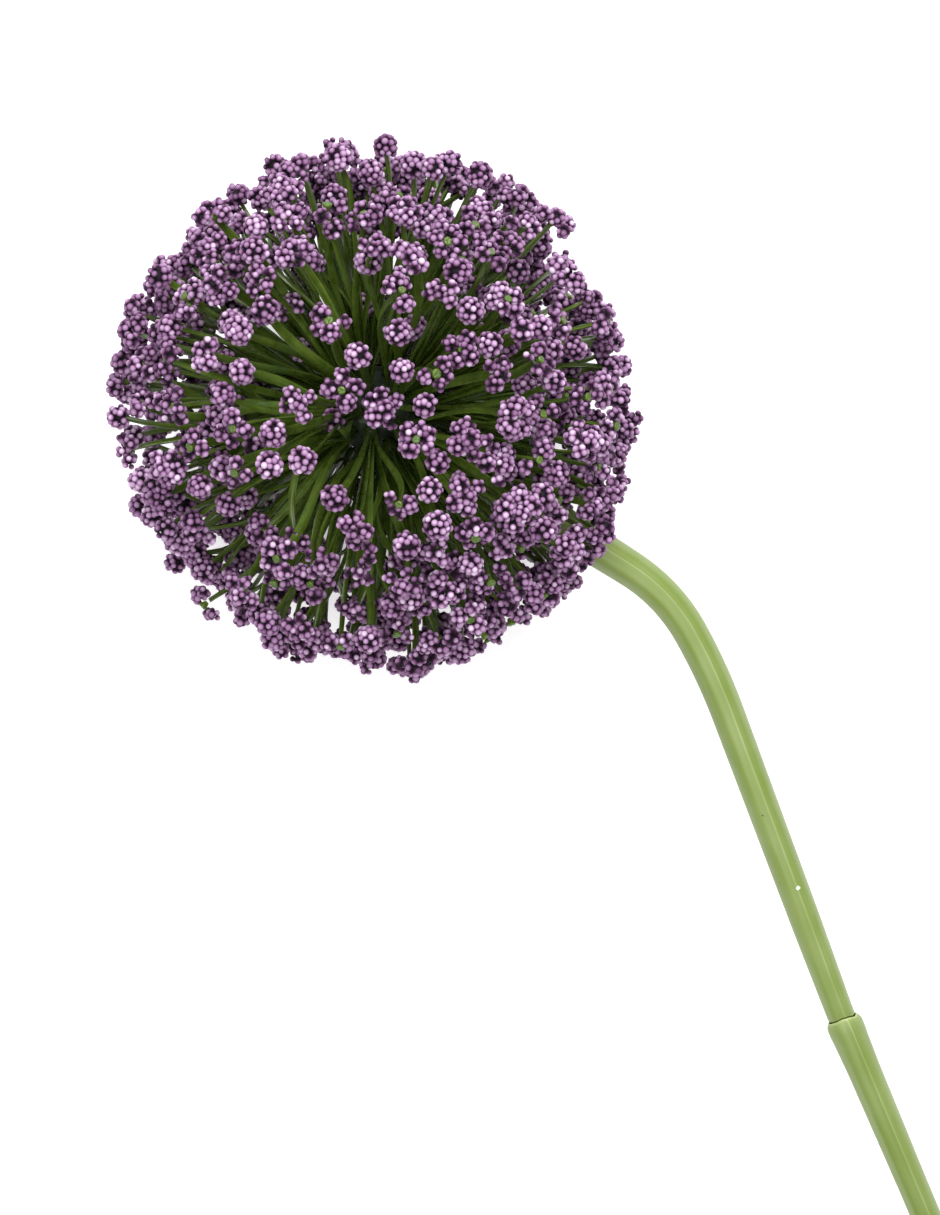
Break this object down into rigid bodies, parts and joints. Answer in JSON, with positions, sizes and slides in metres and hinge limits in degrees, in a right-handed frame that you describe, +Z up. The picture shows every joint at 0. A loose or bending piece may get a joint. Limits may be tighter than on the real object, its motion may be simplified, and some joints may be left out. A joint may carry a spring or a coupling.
{
  "type": "artificial allium flower stem",
  "caption": "Faux allium lying on its side: a ball of purple foam-bead florets on green pedicels, on a bent, socketed stem.",
  "frame": {"origin": "on the surface the flower lies on, under the middle of its bounding box", "axes": "+X along the straight part of the stem, towards its cut end; +Y towards the side the stem is bent to; +Z up"},
  "size_m": [0.279, 0.1038, 0.098],
  "materials": {
    "stem_plastic": "light green moulded polyethylene, satin",
    "stem_wire": "drawn steel wire",
    "hub_plastic": "dark green moulded polyethylene",
    "pedicel_plastic": "dark olive green moulded polyethylene, satin",
    "floret_foam": "purple foam beads, matt"
  },
  "bodies": {
    "root": {"floret_spray_01": "floret_foam", "floret_spray_02": "floret_foam", "floret_spray_03": "floret_foam", "floret_spray_04": "floret_foam", "floret_spray_05": "floret_foam", "floret_spray_06": "floret_foam", "floret_spray_07": "floret_foam", "floret_spray_08": "floret_foam", "floret_spray_09": "floret_foam", "floret_spray_10": "floret_foam", "floret_spray_11": "floret_foam", "floret_spray_12": "floret_foam", "floret_spray_13": "floret_foam", "floret_spray_14": "floret_foam", "floret_spray_15": "floret_foam", "floret_spray_16": "floret_foam", "floret_spray_17": "floret_foam", "floret_spray_18": "floret_foam", "floret_spray_19": "floret_foam", "floret_spray_20": "floret_foam", "floret_spray_21": "floret_foam", "floret_spray_22": "floret_foam", "floret_spray_23": "floret_foam", "floret_spray_24": "floret_foam", "floret_spray_25": "floret_foam", "floret_spray_26": "floret_foam", "floret_spray_27": "floret_foam", "floret_spray_28": "floret_foam", "floret_spray_29": "floret_foam", "floret_spray_30": "floret_foam", "floret_spray_31": "floret_foam", "floret_spray_32": "floret_foam", "floret_spray_33": "floret_foam", "floret_spray_34": "floret_foam", "floret_spray_35": "floret_foam", "floret_spray_36": "floret_foam", "floret_spray_37": "floret_foam", "floret_spray_38": "floret_foam", "floret_spray_39": "floret_foam", "floret_spray_40": "floret_foam", "floret_spray_41": "floret_foam", "floret_spray_42": "floret_foam", "floret_spray_43": "floret_foam", "floret_spray_44": "floret_foam", "floret_spray_45": "floret_foam", "floret_spray_46": "floret_foam", "floret_spray_47": "floret_foam", "floret_spray_48": "floret_foam", "hub": "hub_plastic", "lower_stem_sleeve": "stem_plastic", "lower_stem_wire": "stem_wire", "upper_stem_sleeve": "stem_plastic", "upper_stem_wire": "stem_wire"}
  },
  "joints": []
}
